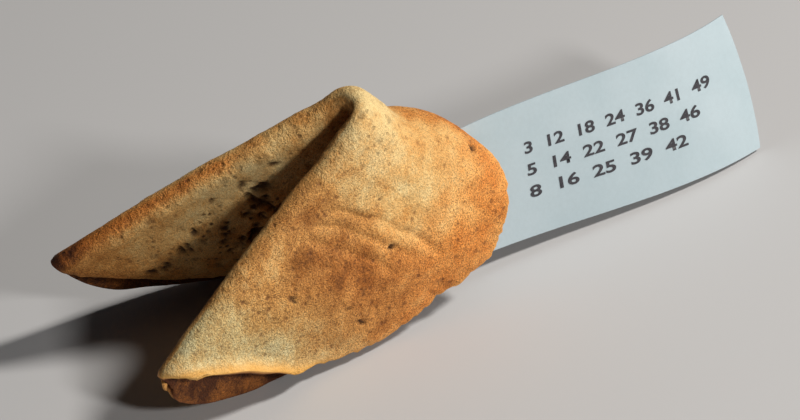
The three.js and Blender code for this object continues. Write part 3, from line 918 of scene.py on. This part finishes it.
# ---------------------------------------------------------------- materials
def srgb(r, g, b):
    def linear(c):
        c /= 255
        return c / 12.92 if c <= 0.04045 else ((c + 0.055) / 1.055) ** 2.4
    return (linear(r), linear(g), linear(b), 1)


# Colours by how far the crust is baked (dark brown inside the pocket is painted shade), how orange it is
# toasted and how much painted shade and painted bluish reflection it has
CRUST_COLOURS = [(0.0, srgb(230, 204, 146)), (0.24, srgb(222, 178, 112)), (0.46, srgb(206, 148, 80)),
                 (0.72, srgb(164, 106, 48)), (1.0, srgb(84, 48, 24))]
EDGE_COLOURS = [(0.12, srgb(232, 174, 80)), (0.42, srgb(250, 180, 100)), (0.9, srgb(120, 62, 30))]
TOAST_TINT = (1.0, 0.70, 0.46, 1)
# Tint of the painted shade and painted bluish reflection
PAINTED_SHADE_BLUISH_TINT = (0.74, 1.02, 1.40, 1)
GRIT_SHADES = [(0.0, (0.28, 0.21, 0.15, 1)), (0.46, (0.97, 0.97, 0.97, 1)), (1.0, (1.55, 1.50, 1.38, 1))]
SPECK_BROWN = srgb(96, 54, 28)
# Painted shade in pores and small pits
PIT_SHADE_BROWN = srgb(44, 24, 13)
PAPER_COLOURS = [(0.0, srgb(174, 191, 198)), (1.0, srgb(183, 198, 205))]
FIBRE_SHADES = [(0.0, (0.955, 0.955, 0.955, 1)), (1.0, (1, 1, 1, 1))]
INK_COLOURS = [(0.0, srgb(44, 42, 48)), (1.0, srgb(66, 64, 70))]
FLOOR_GREY = (0.56, 0.56, 0.57, 1)

# Patterns. A noise is scale, detail and roughness, a crumb is grain size in metres and contrast, small pits
# are scale, core and reach of a pit in its cell. NOISE_OVER is the part of a noise's range that counts.
NOISE_OVER = (0.3, 0.7)
MOTTLE = (330, 3, 0.6)
BLOTCH = (110, 2, 0.5)
FIBRE = (1800, 3, 0.6)
CLOUD = (120, 2, 0.5)
WEAR = (2600, 2, 0.6)
FINE_CRUMB = (0.00018, 3.6)
WIDE_CRUMB = (0.00075, 1.8)
WIDE_PITS = (480, 0.16, 0.34)
FINE_PITS = (1050, 0.14, 0.34)
SPECK_SCALE = 900
SPECK_OVER = (0.14, 0.34)
SPECK_MOTTLE_OVER = (0.44, 0.58)
SPECK_BAKE_OVER = (0.1, 0.5)
SPECK_ON_PALE = 0.45

# How much each pattern changes the bake, the colour and the height
MOTTLE_BAKE = 0.18
BLOTCH_BAKE = 0.09
CRUMB_BAKE = 0.08
CRUMB_BAKE_OVER = (0.2, 0.8)
TOAST_STRENGTH = 0.9
SPECK_STRENGTH = 0.7
EDGE_STRENGTH = 0.8
# How dark the painted shade in pores and small pits is
PIT_SHADE_STRENGTH = 0.92
FINE_HEIGHT = 0.8
WIDE_HEIGHT = 1.4
SPECK_HEIGHT = 0.5
POCK_HEIGHT = 1.6
CRUST_ROUGHNESS = (0.62, 0.82)
CRUST_SHEEN = 0.3
CRUST_BUMP = (0.9, 0.00022)
PAPER_ROUGHNESS = (0.55, 0.7)
PAPER_BUMP = (0.25, 0.00004)
INK_ROUGHNESS = (0.5, 0.65)
FLOOR_ROUGHNESS = 0.7


class Nodes:
    """A node tree with short ways to add and join nodes."""

    def __init__(self, tree):
        self.tree = tree

    def add(self, kind, **settings):
        node = self.tree.nodes.new(kind)
        for key, value in settings.items():
            setattr(node, key, value)
        return node

    def link(self, source, target):
        self.tree.links.new(source, target)

    def put(self, socket, value):
        if isinstance(value, bpy.types.NodeSocket):
            self.link(value, socket)
        else:
            socket.default_value = value

    def math(self, operation, a, b=None, clamped=False):
        node = self.add("ShaderNodeMath", operation=operation, use_clamp=clamped)
        self.put(node.inputs[0], a)
        if b is not None:
            self.put(node.inputs[1], b)
        return node.outputs[0]

    def spread(self, value, low, high, new_low=0.0, new_high=1.0):
        node = self.add("ShaderNodeMapRange")
        self.put(node.inputs["Value"], value)
        for name, number in zip(("From Min", "From Max", "To Min", "To Max"), (low, high, new_low, new_high)):
            node.inputs[name].default_value = number
        return node.outputs[0]

    def mix(self, blend, amount, a, b):
        node = self.add("ShaderNodeMix", data_type="RGBA", blend_type=blend)
        self.put(node.inputs[0], amount)
        self.put(node.inputs[6], a)
        self.put(node.inputs[7], b)
        return node.outputs[2]

    def scaled(self, place, factor):
        node = self.add("ShaderNodeVectorMath", operation="SCALE")
        self.put(node.inputs[0], place)
        self.put(node.inputs["Scale"], factor)
        return node.outputs[0]

    def noise(self, place, scale, detail=2.0, roughness=0.5, output="Fac"):
        node = self.add("ShaderNodeTexNoise")
        self.put(node.inputs["Vector"], place)
        node.inputs["Scale"].default_value = scale
        node.inputs["Detail"].default_value = detail
        node.inputs["Roughness"].default_value = roughness
        return node.outputs[output]

    def cells(self, place, scale):
        node = self.add("ShaderNodeTexVoronoi", feature="F1")
        self.put(node.inputs["Vector"], place)
        node.inputs["Scale"].default_value = scale
        return node.outputs["Distance"], node.outputs["Color"]

    def ramp(self, value, stops):
        node = self.add("ShaderNodeValToRGB")
        self.put(node.inputs[0], value)
        elements = node.color_ramp.elements
        while len(elements) < len(stops):
            elements.new(0.5)
        for element, (at, colour) in zip(elements, stops):
            element.position = at
            element.color = colour
        return node.outputs[0]

    def bump(self, height, strength, distance):
        node = self.add("ShaderNodeBump")
        node.inputs["Strength"].default_value = strength
        node.inputs["Distance"].default_value = distance
        self.put(node.inputs["Height"], height)
        return node.outputs[0]

    def attribute(self, name):
        return self.add("ShaderNodeAttribute", attribute_name=name).outputs["Fac"]

    def object_place(self):
        return self.add("ShaderNodeTexCoord").outputs["Object"]


def new_material(name):
    material = bpy.data.materials.new(name)
    material.use_nodes = True
    nodes = Nodes(material.node_tree)
    return material, nodes, material.node_tree.nodes["Principled BSDF"]


CRUMB_INPUTS = {"Place": "NodeSocketVector", "Grain": "NodeSocketFloat", "Contrast": "NodeSocketFloat"}
CRUMB_OUTPUTS = ("Shade", "Height")
CRUMB_GRAIN = (1.0, 2.0, 0.6)
CRUMB_FINER = (2.3, 1.0, 0.5)
CRUMB_GRAIN_SHARE = 0.6


def crumb_group():
    """Sandy crumb of one grain size in metres: a shade round one half and a height."""
    tree = bpy.data.node_groups.new("sandy_crumb", "ShaderNodeTree")
    for name, kind in CRUMB_INPUTS.items():
        tree.interface.new_socket(name=name, in_out="INPUT", socket_type=kind)
    for name in CRUMB_OUTPUTS:
        tree.interface.new_socket(name=name, in_out="OUTPUT", socket_type="NodeSocketFloat")
    n = Nodes(tree)
    given = n.add("NodeGroupInput")
    result = n.add("NodeGroupOutput")
    place = n.scaled(given.outputs["Place"], n.math("DIVIDE", 1.0, given.outputs["Grain"]))
    grain = n.math("MULTIPLY", n.noise(place, *CRUMB_GRAIN), CRUMB_GRAIN_SHARE)
    finer = n.math("MULTIPLY", n.noise(place, *CRUMB_FINER), 1 - CRUMB_GRAIN_SHARE)
    both = n.math("ADD", grain, finer)
    centred = n.math("MULTIPLY", n.math("SUBTRACT", both, 0.5), given.outputs["Contrast"])
    n.link(n.math("ADD", centred, 0.5, clamped=True), result.inputs["Shade"])
    n.link(both, result.inputs["Height"])
    return tree


CRUMB = crumb_group()


def crumb(n, place, grain, contrast):
    node = n.add("ShaderNodeGroup")
    node.node_tree = CRUMB
    n.link(place, node.inputs["Place"])
    node.inputs["Grain"].default_value = grain
    node.inputs["Contrast"].default_value = contrast
    return node.outputs["Shade"], node.outputs["Height"]


PIT_WANDER_FINER = 2.2
PIT_WANDER_SHARE = 0.35
PIT_CHOSEN_OVER = (0.45, 0.62)


def small_pits(n, place, scale, core, reach):
    """Round-edged pits in about half the cells of one scale, one where the pit is deepest."""
    wander = n.noise(place, scale * PIT_WANDER_FINER, output="Color")
    moved = n.add("ShaderNodeVectorMath", operation="ADD")
    n.link(place, moved.inputs[0])
    n.link(n.scaled(wander, PIT_WANDER_SHARE / scale), moved.inputs[1])
    distance, chance = n.cells(moved.outputs[0], scale)
    return n.math("MULTIPLY", n.spread(distance, core, reach, 1, 0), n.spread(chance, *PIT_CHOSEN_OVER))


def baked_wafer():
    material, n, shader = new_material("baked_wafer")
    place = n.object_place()
    # bake is browning, and on the inside skins painted shade
    bake = n.attribute("bake")
    mottle = n.noise(place, *MOTTLE)
    blotch = n.noise(place, *BLOTCH)
    fine_shade, fine_height = crumb(n, place, *FINE_CRUMB)
    wide_shade, wide_height = crumb(n, place, *WIDE_CRUMB)
    varied = n.math("ADD", bake, n.spread(mottle, *NOISE_OVER, -MOTTLE_BAKE, MOTTLE_BAKE))
    varied = n.math("ADD", varied, n.spread(blotch, *NOISE_OVER, -BLOTCH_BAKE, BLOTCH_BAKE))
    crumbs = n.spread(wide_shade, *CRUMB_BAKE_OVER, CRUMB_BAKE, -CRUMB_BAKE)
    varied = n.math("ADD", varied, crumbs, clamped=True)

    colour = n.ramp(varied, CRUST_COLOURS)
    toast = n.math("MULTIPLY", n.attribute("toast"), TOAST_STRENGTH)
    colour = n.mix("MULTIPLY", toast, colour, TOAST_TINT)
    # Painted shade and painted bluish reflection
    colour = n.mix("MIX", n.attribute("painted_shade"), colour, n.mix("MULTIPLY", 1.0, colour, PAINTED_SHADE_BLUISH_TINT))
    colour = n.mix("MULTIPLY", n.attribute("grit"), colour, n.ramp(fine_shade, GRIT_SHADES))
    speck = n.spread(n.cells(place, SPECK_SCALE)[0], *SPECK_OVER, 1, 0)
    speck = n.math("MULTIPLY", speck, n.spread(mottle, *SPECK_MOTTLE_OVER))
    speck = n.math("MULTIPLY", speck, n.spread(bake, *SPECK_BAKE_OVER, SPECK_ON_PALE, 1.0))
    colour = n.mix("MIX", n.math("MULTIPLY", speck, SPECK_STRENGTH), colour, SPECK_BROWN)
    edge = n.math("MULTIPLY", n.attribute("edge"), EDGE_STRENGTH)
    colour = n.mix("MIX", edge, colour, n.ramp(bake, EDGE_COLOURS))
    # Small pits and the pores are painted dark brown: painted shade in the pits, besides their dents in the
    # height
    pocks = n.math("MAXIMUM", small_pits(n, place, *WIDE_PITS), small_pits(n, place, *FINE_PITS))
    pocks = n.math("MULTIPLY", pocks, n.attribute("pocked"))
    painted_pit_shade = n.math("MAXIMUM", pocks, n.attribute("pit_shade"))
    colour = n.mix("MIX", n.math("MULTIPLY", painted_pit_shade, PIT_SHADE_STRENGTH), colour, PIT_SHADE_BROWN)
    n.link(colour, shader.inputs["Base Color"])
    n.link(n.spread(mottle, *NOISE_OVER, *CRUST_ROUGHNESS), shader.inputs["Roughness"])
    shader.inputs["Specular IOR Level"].default_value = CRUST_SHEEN

    fine_height = n.math("MULTIPLY", fine_height, FINE_HEIGHT)
    wide_height = n.math("MULTIPLY", wide_height, WIDE_HEIGHT)
    height = n.math("ADD", fine_height, wide_height)
    height = n.math("SUBTRACT", height, n.math("MULTIPLY", speck, SPECK_HEIGHT))
    height = n.math("SUBTRACT", height, n.math("MULTIPLY", pocks, POCK_HEIGHT))
    n.link(n.bump(height, *CRUST_BUMP), shader.inputs["Normal"])
    return material


def slip_paper():
    material, n, shader = new_material("slip_paper")
    place = n.object_place()
    fibre = n.noise(place, *FIBRE)
    cloud = n.noise(place, *CLOUD)
    colour = n.ramp(n.spread(cloud, *NOISE_OVER), PAPER_COLOURS)
    colour = n.mix("MULTIPLY", 1.0, colour, n.ramp(n.spread(fibre, *NOISE_OVER), FIBRE_SHADES))
    n.link(colour, shader.inputs["Base Color"])
    n.link(n.spread(fibre, *NOISE_OVER, *PAPER_ROUGHNESS), shader.inputs["Roughness"])
    n.link(n.bump(fibre, *PAPER_BUMP), shader.inputs["Normal"])
    return material


def print_ink():
    material, n, shader = new_material("print_ink")
    wear = n.noise(n.object_place(), *WEAR)
    n.link(n.ramp(n.spread(wear, *NOISE_OVER), INK_COLOURS), shader.inputs["Base Color"])
    n.link(n.spread(wear, *NOISE_OVER, *INK_ROUGHNESS), shader.inputs["Roughness"])
    return material


def pale_floor():
    material, _, shader = new_material("pale_floor")
    shader.inputs["Base Color"].default_value = FLOOR_GREY
    shader.inputs["Roughness"].default_value = FLOOR_ROUGHNESS
    return material


def dress(obj, material):
    obj.data.materials.clear()
    obj.data.materials.append(material)


dress(cookie, baked_wafer())
dress(slip, slip_paper())
dress(numbers, print_ink())

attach(cookie, "root")
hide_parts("cookie")
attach(slip, "root")
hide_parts("fortune_slip")
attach(numbers, "root")

# ---------------------------------------------------------------- floor, light and camera
# Metres, watts and degrees from here on, unless a name says otherwise
FLOOR_SIZE = 6

# Camera: direction from the crest, in the frame of a fold whose spine dips by VIEW_FITTED_DIP
VIEW_AZIMUTH = 65.33
VIEW_HEIGHT = 44.53
VIEW_ROLL = -4.92
VIEW_DISTANCE_MM = 495.8
VIEW_PIXELS_PER_MM = 8.543
VIEW_FITTED_DIP = 47.0
IMAGE_WIDTH = 800
IMAGE_HEIGHT = 420
CREST_PIXEL = (359.5, 105.3)
SENSOR_WIDTH_MM = 36
CLIP_START = 0.01
CLIP_END = 20

# Lights: turn in the picture, from right towards up, rise towards the camera, size, power and colour
LIGHT_DISTANCE = 0.8
LIGHTS = {
    "key": (47, 24, 0.12, 5.8, (1, 0.96, 0.90)),
    "fill": (12, 57, 0.10, 2.7, (1, 0.97, 0.93)),
}
WORLD_COLOUR = (0.86, 0.90, 0.95, 1)
WORLD_STRENGTH = 0.02


def make_floor():
    deselect_all()
    bpy.ops.mesh.primitive_plane_add(size=FLOOR_SIZE, location=(0, 0, 0))
    plane = bpy.context.object
    plane.name = "studio_floor"
    dress(plane, pale_floor())
    return plane


floor = make_floor()


def make_camera():
    """The camera, and the directions of its picture's right and up and of its back."""
    azimuth, height, roll = (math.radians(v) for v in (VIEW_AZIMUTH, VIEW_HEIGHT, VIEW_ROLL))
    flat = math.cos(height)
    back = Vector((math.sin(azimuth) * flat, -math.cos(azimuth) * flat, math.sin(height)))
    level = Vector((math.cos(azimuth), math.sin(azimuth), 0))
    upright = back.cross(level)
    right = level * math.cos(roll) + upright * math.sin(roll)
    up = upright * math.cos(roll) - level * math.sin(roll)
    turn = LEAN_TURN @ Matrix.Rotation(math.radians(VIEW_FITTED_DIP - SPINE_DIP), 3, "X")
    back, right, up = turn @ back, turn @ right, turn @ up
    place = (back * VIEW_DISTANCE_MM + CREST_AT) * MM
    focal = VIEW_PIXELS_PER_MM * VIEW_DISTANCE_MM
    aim = back * focal - right * (IMAGE_WIDTH / 2 - CREST_PIXEL[0]) + up * (IMAGE_HEIGHT / 2 - CREST_PIXEL[1])
    back = aim.normalized()
    right = (right - back * right.dot(back)).normalized()
    up = back.cross(right)
    data = bpy.data.cameras.new("camera")
    data.sensor_width = SENSOR_WIDTH_MM
    data.lens = focal / IMAGE_WIDTH * SENSOR_WIDTH_MM
    data.clip_start = CLIP_START
    data.clip_end = CLIP_END
    camera = bpy.data.objects.new("camera", data)
    bpy.context.scene.collection.objects.link(camera)
    camera.matrix_world = Matrix.Translation(place) @ Matrix((right, up, back)).transposed().to_4x4()
    bpy.context.scene.camera = camera
    return right, up, back


view_right, view_up, view_back = make_camera()


def view_way(turn, rise):
    """A direction by its turn in the picture, from right towards up, and its rise towards the camera."""
    turn, rise = math.radians(turn), math.radians(rise)
    in_picture = view_right * math.cos(turn) + view_up * math.sin(turn)
    return in_picture * math.cos(rise) + view_back * math.sin(rise)


def soft_light(name, way, size, power, colour):
    data = bpy.data.lights.new(name, "AREA")
    data.shape = "DISK"
    data.size = size
    data.energy = power
    data.color = colour
    light = bpy.data.objects.new(name, data)
    bpy.context.scene.collection.objects.link(light)
    way = way.normalized()
    light.location = way * LIGHT_DISTANCE
    light.rotation_euler = way.to_track_quat("Z", "Y").to_euler()


for name, (turn, rise, size, power, colour) in LIGHTS.items():
    soft_light(name, view_way(turn, rise), size, power, colour)

world = bpy.data.worlds.new("studio")
bpy.context.scene.world = world
world.use_nodes = True
world.node_tree.nodes["Background"].inputs["Color"].default_value = WORLD_COLOUR
world.node_tree.nodes["Background"].inputs["Strength"].default_value = WORLD_STRENGTH
bpy.context.scene.view_settings.view_transform = "Standard"
